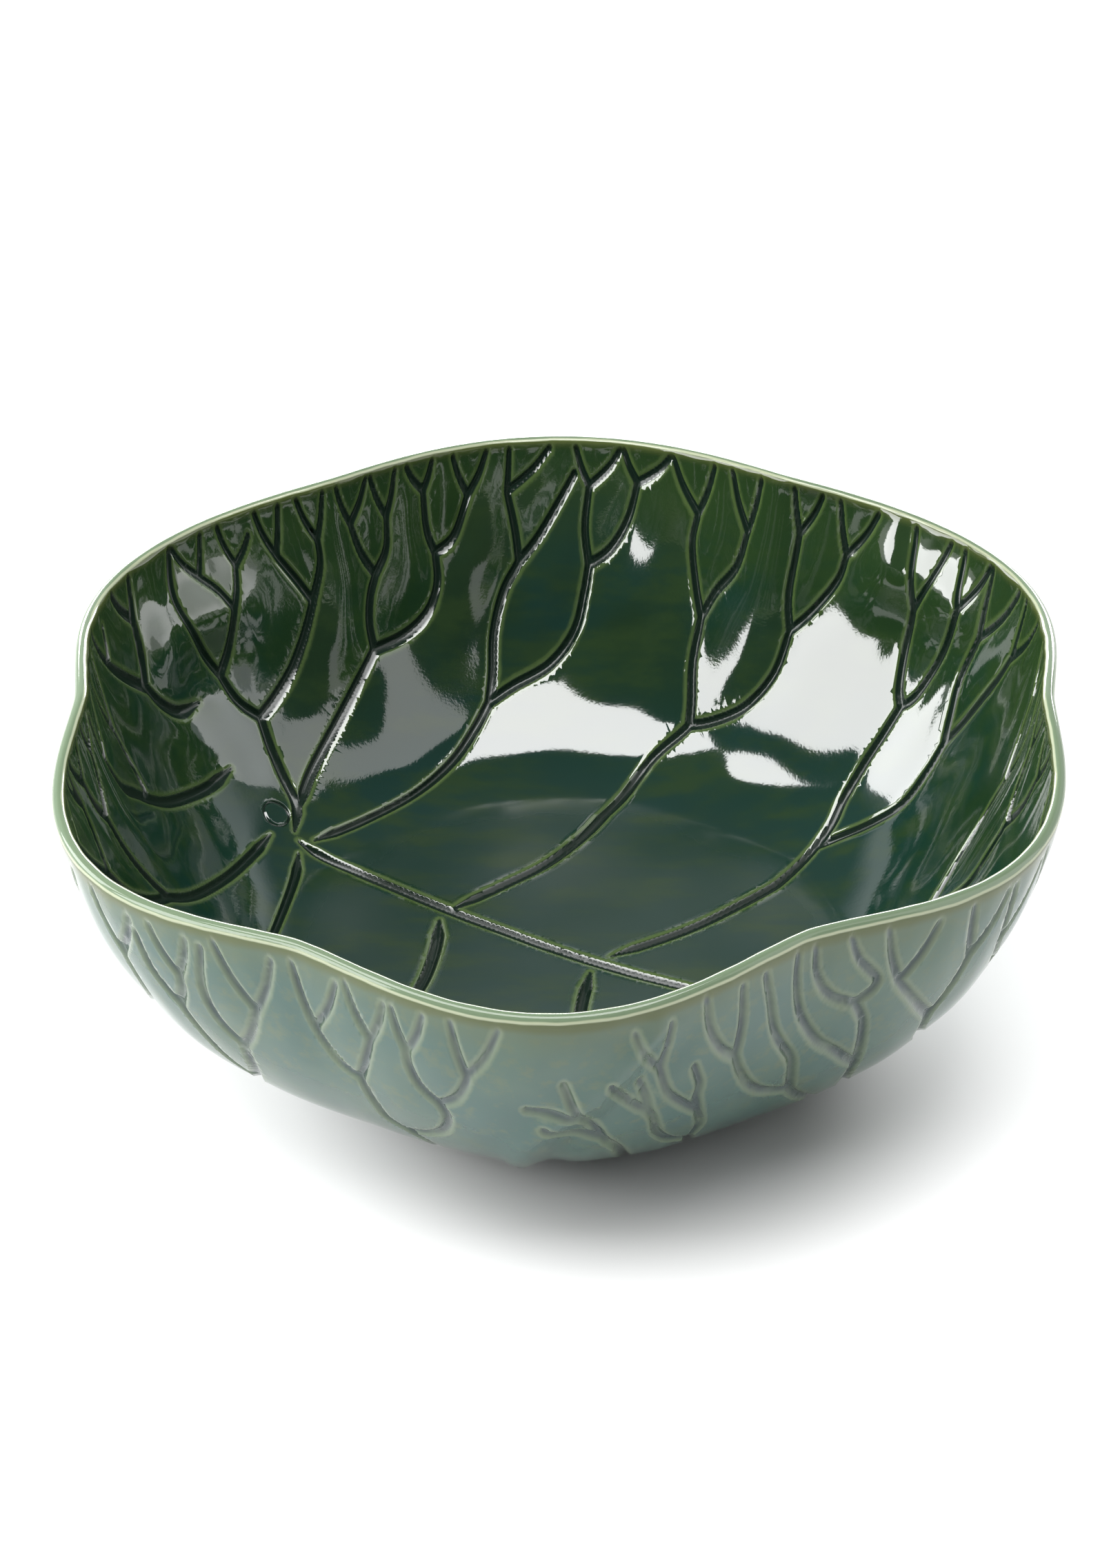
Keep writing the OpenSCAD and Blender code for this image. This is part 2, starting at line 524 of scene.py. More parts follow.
class Grooves:
    """Distances on the flat leaf to the nearest groove. Negative is inside it."""

    FAR = 14.0
    CELL = 1.0

    def __init__(self, strokes, deep):
        self.a = np.vstack([points[:-1] for points, _ in strokes])
        self.b = np.vstack([points[1:] for points, _ in strokes])
        self.wa = np.concatenate([widths[:-1] for _, widths in strokes])
        self.wb = np.concatenate([widths[1:] for _, widths in strokes])
        self.deep = deep
        self.half = int(CREST + self.FAR)
        size = 2 * self.half + 1
        self.nearest = np.full((size, size), -1)
        best = np.full((size, size), np.inf)
        reach = int(self.FAR)
        for i, middle in enumerate((self.a + self.b) / 2):
            cx, cy = np.round(middle).astype(int) + self.half
            x0, x1 = max(cx - reach, 0), min(cx + reach + 1, size)
            y0, y1 = max(cy - reach, 0), min(cy + reach + 1, size)
            xs = np.arange(x0, x1) - self.half - middle[0]
            ys = np.arange(y0, y1) - self.half - middle[1]
            d = np.hypot(*np.meshgrid(xs, ys, indexing="ij")) - (self.wa[i] + self.wb[i]) / 2
            window = best[x0:x1, y0:y1]
            closer = d < window
            window[closer] = d[closer]
            self.nearest[x0:x1, y0:y1][closer] = i

    def measure(self, flat):
        """Distance to the groove's lip, its half width there, and the nearest point of its middle."""
        lip = np.full(len(flat), self.FAR)
        half = np.ones(len(flat))
        middle = flat.copy()
        at = np.round(flat).astype(int) + self.half
        for dx in (-1, 0, 1):
            for dy in (-1, 0, 1):
                cells = np.clip(at + [dx, dy], 0, len(self.nearest) - 1)
                i = self.nearest[cells[:, 0], cells[:, 1]]
                known = np.flatnonzero(i >= 0)
                i = i[known]
                p = flat[known]
                along = self.b[i] - self.a[i]
                t = ((p - self.a[i]) * along).sum(1) / np.maximum((along**2).sum(1), 1e-9)
                t = np.clip(t, 0, 1)
                foot = self.a[i] + t[:, None] * along
                w = self.wa[i] + (self.wb[i] - self.wa[i]) * t
                d = np.linalg.norm(p - foot, axis=1) - w
                closer = d < lip[known]
                here = known[closer]
                lip[here] = d[closer]
                half[here] = w[closer]
                middle[here] = foot[closer]
        return lip, half, middle

    def cut(self, lip, half):
        """How deep the groove is, in millimetres: round at the bottom and softly turned over at the lip."""
        share = np.clip(-lip / half, 0, 1) ** FULLNESS
        return self.deep * half * smooth(share)


# A small ring is pressed in beside the hub.
RING_MIDDLE = (-105, 73)
RING_RADIUS = 5.0
RING_HALF = 0.8
RING_DEPTH = 0.75


def ring_away(flat):
    """Distance from the ring's line."""
    return np.abs(np.hypot(flat[:, 0] - RING_MIDDLE[0], flat[:, 1] - RING_MIDDLE[1]) - RING_RADIUS)


def ring_cut(flat):
    """How deep the ring's line is."""
    return RING_DEPTH * smooth(np.clip(1 - ring_away(flat) / RING_HALF, 0, 1))


inner_grooves = Grooves(strokes_of(INNER_VEINS, INNER_HALVES), INNER_DEEP)
outer_grooves = Grooves(strokes_of(OUTER_VEINS, OUTER_HALVES), OUTER_DEEP)

# ---- The mesh ----

RINGS = 60
BASE_RINGS = 13
# Edges are halved in passes: (how near a groove's lip, least length, how far before the rim's roll).
GROOVE_PASSES = ((2.6, 2.4, 4.0), (0.9, 1.3, 1.0))
# The same next to the small ring: (how near, least length)
RING_PASSES = ((3.0, 1.5), (2.0, 0.8), (1.0, 0.4))
INNER = 0
OUTER = 1
CREST_LINE = 2


def disk_points(reaches):
    """Ring k has 6k points, so that the triangles between rings are nearly even."""
    rings = [np.zeros((1, 2))]
    for k, reach in enumerate(reaches[1:], start=1):
        a = np.arange(6 * k) * 2 * math.pi / (6 * k)
        rings.append(reach * np.stack([np.cos(a), np.sin(a)], 1))
    return np.vstack(rings)


def disk_triangles(rings):
    """Triangles of such a disk, anticlockwise."""

    def at(k, j):
        return 0 if k == 0 else 1 + 3 * k * (k - 1) + j % (6 * k)

    triangles = []
    for k in range(rings):
        for sector in range(6):
            for j in range(k + 1):
                a = at(k, sector * k + j)
                b = at(k + 1, sector * (k + 1) + j)
                c = at(k + 1, sector * (k + 1) + j + 1)
                triangles.append((a, b, c))
                if j < k:
                    triangles.append((a, c, at(k, sector * k + j + 1)))
    return np.array(triangles)


def refined(flat, side, triangles, wanted):
    """Halves the edges that wanted picks and splits the triangles to suit. Crest points stay on the crest."""
    edges = np.sort(triangles[:, [0, 1, 1, 2, 2, 0]].reshape(-1, 2), axis=1)
    edges, edge_of = np.unique(edges, axis=0, return_inverse=True)
    edge_of = edge_of.reshape(-1, 3)
    edge_side = np.minimum(side[edges[:, 0]], side[edges[:, 1]])
    middle = (flat[edges[:, 0]] + flat[edges[:, 1]]) / 2
    length = np.linalg.norm(flat[edges[:, 0]] - flat[edges[:, 1]], axis=1)
    split = wanted(middle, edge_side, length)
    while True:
        marks = split[edge_of].sum(1)
        short = marks == 2
        if not short.any():
            break
        split[edge_of[short].ravel()] = True
    on_crest = edge_side == CREST_LINE
    middle[on_crest] *= CREST / np.linalg.norm(middle[on_crest], axis=1, keepdims=True)
    new_at = np.full(len(edges), -1)
    new_at[split] = len(flat) + np.arange(split.sum())
    a, b, c = triangles.T
    ab, bc, ca = new_at[edge_of].T
    parts = [triangles[marks == 0]]
    full = marks == 3
    for corners in ((a, ab, ca), (ab, b, bc), (ca, bc, c), (ab, bc, ca)):
        parts.append(np.stack(corners, 1)[full])
    for first, second in (((a, ab, c), (ab, b, c)), ((b, bc, a), (bc, c, a)), ((c, ca, b), (ca, a, b))):
        one = (marks == 1) & (first[1] >= 0)
        parts.append(np.stack(first, 1)[one])
        parts.append(np.stack(second, 1)[one])
    flat = np.vstack([flat, middle[split]])
    side = np.concatenate([side, edge_side[split]])
    return flat, side, np.vstack(parts)


def lips(flat, side):
    """Distance to the nearest groove's lip, and its half width, for points of either side."""
    lip = np.full(len(flat), Grooves.FAR)
    half = np.ones(len(flat))
    middle = flat.copy()
    for value, grooves in ((INNER, inner_grooves), (OUTER, outer_grooves)):
        here = side == value
        lip[here], half[here], middle[here] = grooves.measure(flat[here])
    return lip, half, middle


def near_grooves(most_away, least_length, roll_from):
    """Picks edges near a groove, and in the roll of the rim."""

    def wanted(flat, side, length):
        lip, _, _ = lips(flat, side)
        rolled = np.hypot(flat[:, 0], flat[:, 1]) > roll_from
        return ((lip < most_away) | rolled) & (length > least_length)

    return wanted


def near_ring(most_away, least_length):
    """Picks edges next to the small ring."""

    def wanted(flat, side, length):
        return (side == INNER) & (ring_away(flat) < most_away) & (length > least_length)

    return wanted


def bowl_mesh():
    """Flat points, their sides and the triangles of the whole closed bowl."""
    inner_reaches = np.linspace(0, CREST, RINGS + 1)
    foot = UNDERSIDE[1:, 0]
    foot_reaches = np.sort(np.concatenate([foot, (foot[1:] + foot[:-1]) / 2]))
    base = np.linspace(0, foot_reaches[0], BASE_RINGS + 1)[:-1]
    rest = RINGS + 1 - len(base) - len(foot_reaches)
    outer_reaches = np.concatenate([base, foot_reaches, np.linspace(BASE_RADIUS, CREST, rest + 1)[1:]])
    inner = disk_points(inner_reaches)
    outer = disk_points(outer_reaches)
    crest_count = 6 * RINGS
    inside_count = len(inner)
    shared = inside_count - crest_count
    side = np.concatenate([
        np.full(shared, INNER),
        np.full(crest_count, CREST_LINE),
        np.full(shared, OUTER),
    ])
    flat = np.vstack([inner, outer[:shared]])
    triangles = disk_triangles(RINGS)
    under = np.where(triangles < shared, triangles + inside_count, triangles)
    triangles = np.vstack([triangles, under[:, ::-1]])
    for away, length, before in GROOVE_PASSES:
        wanted = near_grooves(away, length, ROLL_START - before)
        flat, side, triangles = refined(flat, side, triangles, wanted)
    for away, length in RING_PASSES:
        flat, side, triangles = refined(flat, side, triangles, near_ring(away, length))
    return flat, side, triangles


SNAP = 0.36
SNAP_CLEAR = 0.2  # a point this near to a groove's middle isn't pushed out to the lip
WIDE_ENOUGH = 0.9  # half width from which a groove has a middle line of points


def snapped(flat, side):
    """Points next to a lip or to the bottom of a groove move on to it, so that both are drawn cleanly."""
    lip, half, middle = lips(flat, side)
    inside_crest = np.hypot(flat[:, 0], flat[:, 1]) < ROLL_START
    away = flat - middle
    distance = np.linalg.norm(away, axis=1)
    to_middle = inside_crest & (distance < SNAP) & (half > WIDE_ENOUGH) & (lip < 0)
    to_lip = inside_crest & (np.abs(lip) < SNAP) & (distance > SNAP_CLEAR)
    flat = flat.copy()
    flat[to_middle] = middle[to_middle]
    flat[to_lip] -= (away[to_lip] / distance[to_lip][:, None]) * lip[to_lip][:, None]
    return flat


# Small unevenness of hand-finished clay: waves of these lengths, heights and angles
HAND_WAVES = ((61, 0.07, 20), (43, 0.05, 95), (33, 0.035, 150), (24, 0.02, 60), (19, 0.012, 120))
# Their phase grows by this for each wave and each side, and they bend by this over so many lengths.
WAVE_PHASE = 1.7
SIDE_PHASE = 2.1
WAVE_BEND = 0.8
BEND_LENGTH = 2.3
# A thin bead runs along each lip.
LIP_BEAD = 0.06
BEAD_WIDTH = 0.9
# The panels between the veins swell: by how much, what share of it stands out past the plain face, how
# far from a lip it takes, and the reaches between which it grows.
INNER_SWELL = 1.8
INNER_SWELL_OUT = 0.5
OUTER_SWELL = 1.1
OUTER_SWELL_OUT = 1.0
SWELL_WIDTH = 9.0
SWELL_FROM = 118
SWELL_FULL = 165
# Outside, in front, a soft fold runs up to the right, with a hollow along its right side.
FOLD_PATH = wall((264.5, 106), (264.5, 140), (265.5, 156), (269, 172), (275, 190), (280, 206))
FOLD_HEIGHT = 2.2
FOLD_WIDTH = 5.0
HOLLOW_PATH = wall((269, 110), (269, 140), (270, 152), (273, 166), (279, 183), (284, 198))
HOLLOW_DEPTH = 1.2
# Inside, the far wall sags along one limb.
SAG_PATH = wall((66, 136), (60.3, 149), (57.3, 161), (56.6, 180), (57, 204))
SAG_DEPTH = 1.5
SAG_WIDTH = 14.0
# The floor rises a little towards the wall.
DISH = 0.4
EASE_HALF = 12.0
DISH_OUT = 40.0
# Two lobes flare out at the rim, because the wall below bends inwards along these paths.
FLARE_PATHS = wall((35, 197), (40, 198), (45, 199)), wall((136, 190), (142, 191), (148, 190))
FLARE_HEIGHT = 3.6
FLARE_WIDTH = 9.5
OUTER_FLARE = 0.5
# The relief fades out over these lengths towards the crest of the rim and the foot.
INNER_RIM_FADE = 6.0
OUTER_RIM_FADE = 13.0
FOOT_FADE = 12.0
# Clay left between the sides at one flat point. On a slant between grooves it is less.
LEAST_CLAY = 1.9
LEAST_BLEND = 0.3


class Pillows:
    """The swell of the panels between the veins: heights on a square grid, read as a smooth spline."""

    PITCH = 2.0
    SMOOTHING = 3

    def __init__(self, grooves, most, share_out):
        self.half = int(CREST / self.PITCH) + 4
        steps = np.arange(-self.half, self.half + 1) * self.PITCH
        flat = np.stack(np.meshgrid(steps, steps, indexing="ij"), 2).reshape(-1, 2)
        lip, _, _ = grooves.measure(flat)
        reach = np.hypot(flat[:, 0], flat[:, 1])
        grown = np.clip((reach - SWELL_FROM) / (SWELL_FULL - SWELL_FROM), 0, 1)
        swell = share_out - np.exp(-np.maximum(lip, 0) / SWELL_WIDTH)
        grid = (most * swell * smooth(grown)).reshape(len(steps), len(steps))
        for _ in range(self.SMOOTHING):
            grid[1:-1] = (grid[:-2] + 2 * grid[1:-1] + grid[2:]) / 4
            grid[:, 1:-1] = (grid[:, :-2] + 2 * grid[:, 1:-1] + grid[:, 2:]) / 4
        self.grid = grid

    def height(self, flat):
        at = flat / self.PITCH + self.half
        cell = np.floor(at).astype(int)
        t = at - cell
        weights = np.stack([
            (1 - t) ** 3 / 6,
            (3 * t**3 - 6 * t**2 + 4) / 6,
            (3 * (1 - t) ** 3 - 6 * (1 - t) ** 2 + 4) / 6,
            t**3 / 6,
        ])
        total = np.zeros(len(flat))
        for i in range(4):
            for j in range(4):
                value = self.grid[cell[:, 0] + i - 1, cell[:, 1] + j - 1]
                total += weights[i][:, 0] * weights[j][:, 1] * value
        return total


inner_pillows = Pillows(inner_grooves, INNER_SWELL, INNER_SWELL_OUT)
outer_pillows = Pillows(outer_grooves, OUTER_SWELL, OUTER_SWELL_OUT)


def unevenness(flat, side):
    """Height of the hand-made waves, which differ between the two sides."""
    height = np.zeros(len(flat))
    for i, (length, size, angle) in enumerate(HAND_WAVES):
        c, s = math.cos(math.radians(angle)), math.sin(math.radians(angle))
        across = flat[:, 0] * c + flat[:, 1] * s
        along = flat[:, 1] * c - flat[:, 0] * s
        phase = WAVE_PHASE * i + SIDE_PHASE * side
        bend = WAVE_BEND * np.sin(2 * math.pi * along / (BEND_LENGTH * length) + phase)
        height += size * np.sin(2 * math.pi * across / length + phase + bend)
    return height


def soft_ridge(path, flat, height, width):
    """Height of a soft ridge that follows a path."""
    away = np.full(len(flat), np.inf)
    for point in smooth_path(path, 2 * PATH_STEP):
        away = np.minimum(away, np.hypot(flat[:, 0] - point[0], flat[:, 1] - point[1]))
    return height * np.exp(-((away / width) ** 2))


def eased_edge(reach):
    """Added height that spreads the start of the wall's curve over both sides of the floor's edge."""
    speed = (NOTCH_RADIUS - BASE_RADIUS) * WALL_TURN / math.sin(WALL_TURN)
    curvature = (RIM_HEIGHT - FOOT_HEIGHT) * WALL_TURN**2 / (1 - math.cos(WALL_TURN)) / speed**2
    past = reach - BASE_RADIUS
    past = np.where(past > 0, past * speed / WALL_REACH, past)
    share = np.clip(past + EASE_HALF, 0, 2 * EASE_HALF)
    return curvature * (share**3 / (12 * EASE_HALF) - np.clip(past, 0, EASE_HALF) ** 2 / 2)


def dish(flat):
    """The floor rises as it nears the wall, and the rise dies away up the wall."""
    reach = np.hypot(flat[:, 0], flat[:, 1])
    rise = DISH * smooth(np.minimum(reach, BASE_RADIUS) / BASE_RADIUS) + eased_edge(reach)
    return rise * np.exp(-((np.maximum(reach - BASE_RADIUS, 0) / DISH_OUT) ** 2))


def relief(flat, side):
    """Height of one side's relief over its plain face, its grooves' depth and the distance to a lip."""
    inside = side != OUTER
    grooves, pillows = (inner_grooves, inner_pillows) if inside else (outer_grooves, outer_pillows)
    lip, half, _ = grooves.measure(flat)
    cut = grooves.cut(lip, half)
    if inside:
        cut = np.maximum(cut, ring_cut(flat))
    bead = LIP_BEAD * np.exp(-((lip / BEAD_WIDTH) ** 2))
    height = bead + pillows.height(flat) - cut + unevenness(flat, side)
    reach = np.hypot(flat[:, 0], flat[:, 1])
    keep = smooth(np.clip((CREST - reach) / (INNER_RIM_FADE if inside else OUTER_RIM_FADE), 0, 1))
    flare = FLARE_HEIGHT if inside else -OUTER_FLARE * FLARE_HEIGHT
    if inside:
        height += dish(flat) - soft_ridge(SAG_PATH, flat, SAG_DEPTH, SAG_WIDTH)
    else:
        height += soft_ridge(FOLD_PATH, flat, FOLD_HEIGHT, FOLD_WIDTH)
        height -= soft_ridge(HOLLOW_PATH, flat, HOLLOW_DEPTH, FOLD_WIDTH)
        keep *= np.clip((reach - BASE_RADIUS) / FOOT_FADE, 0, 1)
    for path in FLARE_PATHS:
        height += soft_ridge(path, flat, flare, FLARE_WIDTH)
    return height * keep, cut, lip


def least_height(flat):
    """How low the outside's relief may go, to leave LEAST_CLAY behind the inside's veins."""
    reach = np.hypot(flat[:, 0], flat[:, 1])
    s = np.clip((reach - BASE_RADIUS) / WALL_REACH, 0, WALL_END)
    behind, _, _ = relief(flat, INNER)
    return np.where(reach < ROLL_START, LEAST_CLAY - thickness(s) - behind, -FLOOR_THICKNESS)


def bowl_points(flat, side):
    """The flat points on the bowl, with the veins cut in, and what the glaze needs to know about each."""
    reach = np.hypot(flat[:, 0], flat[:, 1])
    points = np.zeros((len(flat), 3))
    lip = np.zeros(len(flat))
    cut = np.zeros(len(flat))
    for value in (INNER, OUTER, CREST_LINE):
        here = side == value
        height, cut[here], lip[here] = relief(flat[here], value)
        if value == OUTER:
            # The greater of the two, blended where they meet. The underside has no relief.
            least = least_height(flat[here])
            height = (height + least + np.sqrt((height - least) ** 2 + LEAST_BLEND**2)) / 2
            height = np.where(reach[here] < BASE_RADIUS, 0, height)
        points[here] = plain_face(flat[here], value != OUTER)
        points[here] += height[:, None] * face_normals(flat[here], value != OUTER)
    edge = np.where(side == OUTER, reach - CREST, CREST - reach)
    return points, {"lip": lip, "cut": cut, "edge": edge}


def make_bowl():
    """The bowl as an object in metres, and how far it was moved to centre it."""
    flat, side, triangles = bowl_mesh()
    flat = snapped(flat, side)
    points, facts = bowl_points(flat, side)
    middle = (points.min(0) + points.max(0)) / 2 * [1, 1, 0]
    points = (points - middle) * MM
    mesh = bpy.data.meshes.new("leaf_bowl")
    mesh.vertices.add(len(points))
    mesh.vertices.foreach_set("co", points.ravel())
    mesh.loops.add(3 * len(triangles))
    mesh.loops.foreach_set("vertex_index", triangles.ravel().astype(np.int32))
    mesh.polygons.add(len(triangles))
    mesh.polygons.foreach_set("loop_start", np.arange(0, 3 * len(triangles), 3, dtype=np.int32))
    mesh.polygons.foreach_set("use_smooth", np.ones(len(triangles), bool))
    mesh.update(calc_edges=True)
    mesh.validate()
    for name, values in facts.items():
        attribute = mesh.attributes.new(name, "FLOAT", "POINT")
        attribute.data.foreach_set("value", values.astype(np.float32))
    bowl = bpy.data.objects.new("leaf_bowl", mesh)
    bpy.context.scene.collection.objects.link(bowl)
    return bowl, middle * MM


# ---- Materials ----


class Nodes:
    """Short names for the shader nodes that the materials use."""

    def __init__(self, tree):
        self.tree = tree

    def node(self, kind, **settings):
        n = self.tree.nodes.new("ShaderNode" + kind)
        for name, value in settings.items():
            setattr(n, name, value)
        return n

    def put(self, socket, value):
        if isinstance(value, bpy.types.NodeSocket):
            self.tree.links.new(value, socket)
        else:
            socket.default_value = value

    def fact(self, name):
        return self.node("Attribute", attribute_name=name).outputs["Fac"]

    def math(self, operation, a, b=0.0, c=0.0):
        n = self.node("Math", operation=operation)
        for socket, value in zip(n.inputs, (a, b, c)):
            self.put(socket, value)
        return n.outputs[0]

    def ramp(self, value, low, high):
        """0 at low, 1 at high, smooth between. low may be the greater."""
        n = self.node("MapRange", interpolation_type="SMOOTHSTEP")
        self.put(n.inputs["Value"], value)
        n.inputs["From Min"].default_value = low
        n.inputs["From Max"].default_value = high
        return n.outputs["Result"]

    def mix(self, share, a, b):
        n = self.node("Mix", data_type="RGBA")
        self.put(n.inputs["Factor"], share)
        for socket, value in ((n.inputs[6], a), (n.inputs[7], b)):
            self.put(socket, value if isinstance(value, bpy.types.NodeSocket) else (*value, 1.0))
        return n.outputs[2]

    def times(self, a, b):
        return self.math("MULTIPLY", a, b)

    def shifted(self, value, by, times):
        """value + by * times"""
        return self.math("MULTIPLY_ADD", by, times, value)

    def noise(self, place, size, detail, roughness, seed):
        """Noise with features about size millimetres across."""
        n = self.node("TexNoise", noise_dimensions="4D")
        self.put(n.inputs["Vector"], place)
        n.inputs["W"].default_value = seed
        n.inputs["Scale"].default_value = 1 / (size * MM)
        n.inputs["Detail"].default_value = detail
        n.inputs["Roughness"].default_value = roughness
        return n.outputs["Fac"]

    def bump(self, height, distance, normal=None):
        """distance is the height in metres of a step from 0 to 1."""
        n = self.node("Bump")
        n.inputs["Strength"].default_value = 1.0
        n.inputs["Distance"].default_value = distance
        self.put(n.inputs["Height"], height)
        if normal is not None:
            self.put(n.inputs["Normal"], normal)
        return n.outputs["Normal"]


def new_material(name):
    material = bpy.data.materials.new(name)
    material.use_nodes = True
    nodes = Nodes(material.node_tree)
    shader = material.node_tree.nodes["Principled BSDF"]
    return material, nodes, shader


# Glaze colours, as linear light
DEEP_GREEN = (0.0085, 0.026, 0.009)
POOL_GREEN = (0.006, 0.029, 0.022)
LEAF_GREEN = (0.018, 0.040, 0.011)
GROOVE_DARK = (0.0045, 0.0135, 0.008)
LIP_OLIVE = (0.095, 0.145, 0.042)
CELADON = (0.064, 0.113, 0.080)
CELADON_BLUE = (0.038, 0.090, 0.077)
CELADON_OLIVE = (0.092, 0.120, 0.062)
OUTER_GROOVE = (0.036, 0.060, 0.060)
OUTER_LIP = (0.145, 0.185, 0.11)
RIM_PALE = (0.135, 0.185, 0.115)
# The rim's cream is painted highlight: a bright line along each side of the rounded rim.
RIM_HIGHLIGHT = (0.38, 0.41, 0.28)
RIM_OLIVE = (0.07, 0.088, 0.026)
CLAY = (0.62, 0.52, 0.40)


# Distances from the crest of the rim in millimetres, negative outside
SIDE_BLEND = 0.6  # half the length over which the two sides' colours meet
SHINE_FROM = 1.5
SHINE_FULL = 6.0
FLOOR_FROM = 110
FLOOR_FULL = 140
CREST_MIDDLE = -0.6
# The cream lines are painted highlight on the rounded rim.
HIGHLIGHT_AWAY = 2.3  # of each cream line, from the middle of the crest

GLAZE_ROUGHNESS = 0.055
SETTLED_ROUGHNESS = 0.28  # added on the floor and in the veins, which are duller
CLAY_ROUGHNESS = 0.8
OUTSIDE_IOR = 1.5
INSIDE_MORE_IOR = 0.4  # added inside, where the glaze mirrors more


class Surface:
    """What the glaze goes by at each point: its place, the mesh's facts, and noises."""

    def __init__(self, n):
        self.place = n.node("TexCoord").outputs["Object"]
        self.lip = n.fact("lip")
        self.cut = n.fact("cut")
        self.edge = n.fact("edge")
        position = n.node("SeparateXYZ")
        n.put(position.inputs[0], self.place)
        self.low = n.ramp(position.outputs["Z"], 0.055, 0.012)
        self.inside = n.ramp(self.edge, -SIDE_BLEND, SIDE_BLEND)
        self.cloud = n.noise(self.place, 45, 3.0, 0.55, 1.0)
        self.ragged = n.math("SUBTRACT", n.noise(self.place, 3.5, 3.0, 0.6, 3.0), 0.5)
        self.wavering = n.math("SUBTRACT", n.noise(self.place, 14, 2.0, 0.5, 4.0), 0.5)


def inside_colour(n, at):
    """Dark green with drawn-out streaks, leaf green towards the rim, olive lips and dark veins"""
    drawn_out = n.node("VectorMath", operation="MULTIPLY")
    n.put(drawn_out.inputs[0], at.place)
    drawn_out.inputs[1].default_value = (0.3, 1, 1)
    streak = n.noise(drawn_out.outputs[0], 11, 4.0, 0.6, 7.0)
    green = n.mix(n.ramp(at.cloud, 0.35, 0.7), DEEP_GREEN, POOL_GREEN)
    green = n.mix(n.times(at.low, 0.75), green, POOL_GREEN)
    green = n.mix(n.times(n.ramp(streak, 0.42, 0.66), 0.8), green, LEAF_GREEN)
    high = n.ramp(n.shifted(at.edge, at.wavering, 16), 46, 4)
    green = n.mix(n.times(high, 0.85), green, LEAF_GREEN)
    near_lip = n.ramp(n.math("ADD", at.lip, at.ragged), 1.7, 0.0)
    strength = n.shifted(0.5, at.low, 0.25)
    green = n.mix(n.times(near_lip, strength), green, LIP_OLIVE)
    return n.mix(n.ramp(at.cut, 0.08, 0.55), green, GROOVE_DARK)


def outside_colour(n, at):
    """Cloudy celadon, olive in flecks and towards the rim, with pale lips and grey-green veins"""
    fleck = n.noise(at.place, 6, 4.0, 0.6, 2.0)
    pale = n.mix(n.ramp(at.cloud, 0.3, 0.7), CELADON, CELADON_BLUE)
    pale = n.mix(n.times(n.ramp(fleck, 0.48, 0.70), 0.5), pale, CELADON_OLIVE)
    near_rim = n.ramp(n.shifted(at.edge, at.wavering, 8), -16, -3)
    pale = n.mix(n.times(near_rim, 0.6), pale, CELADON_OLIVE)
    near_lip = n.ramp(n.shifted(at.lip, at.ragged, 1.2), 1.6, 0.0)
    pale = n.mix(n.times(near_lip, 0.6), pale, OUTER_LIP)
    worn = n.ramp(n.math("ADD", at.wavering, 0.5), 0.2, 0.6)
    pooled = n.times(n.ramp(at.cut, 0.1, 1.2), worn)
    return n.mix(pooled, pale, OUTER_GROOVE)


def with_rim(n, at, colour):
    """Adds an olive band where the glaze breaks, the pale crest, and a cream line of painted highlight on
    each side of it.
    """
    olive_out = n.ramp(n.shifted(at.edge, at.wavering, 2.2), -7.0, -4.4)
    olive_in = n.ramp(n.math("ADD", at.edge, at.ragged), 5.5, 2.0)
    olive = n.times(n.times(olive_out, 0.9), olive_in)
    colour = n.mix(olive, colour, RIM_OLIVE)
    from_middle = n.math("ABSOLUTE", n.math("SUBTRACT", at.edge, CREST_MIDDLE))
    from_middle = n.shifted(from_middle, at.wavering, 1.2)
    colour = n.mix(n.ramp(from_middle, 3.0, 2.2), colour, RIM_PALE)
    from_highlight = n.math("ABSOLUTE", n.math("SUBTRACT", from_middle, HIGHLIGHT_AWAY))
    # A cream line of painted highlight runs along each side of the crest.
    return n.mix(n.times(n.ramp(from_highlight, 0.75, 0.2), 0.85), colour, RIM_HIGHLIGHT)


def bare_clay(n, at):
    """1 on the flat ring that the bowl stands on, which has no glaze."""
    foot_middle = (FOOT_INNER + FOOT_RADIUS) / 2
    bare_half = FOOT_WIDTH / 2 - FOOT_EDGE
    away = n.math("ABSOLUTE", n.math("ADD", at.edge, CREST - foot_middle))
    return n.ramp(n.shifted(away, at.ragged, 0.5), bare_half + 0.3, bare_half - 0.3)


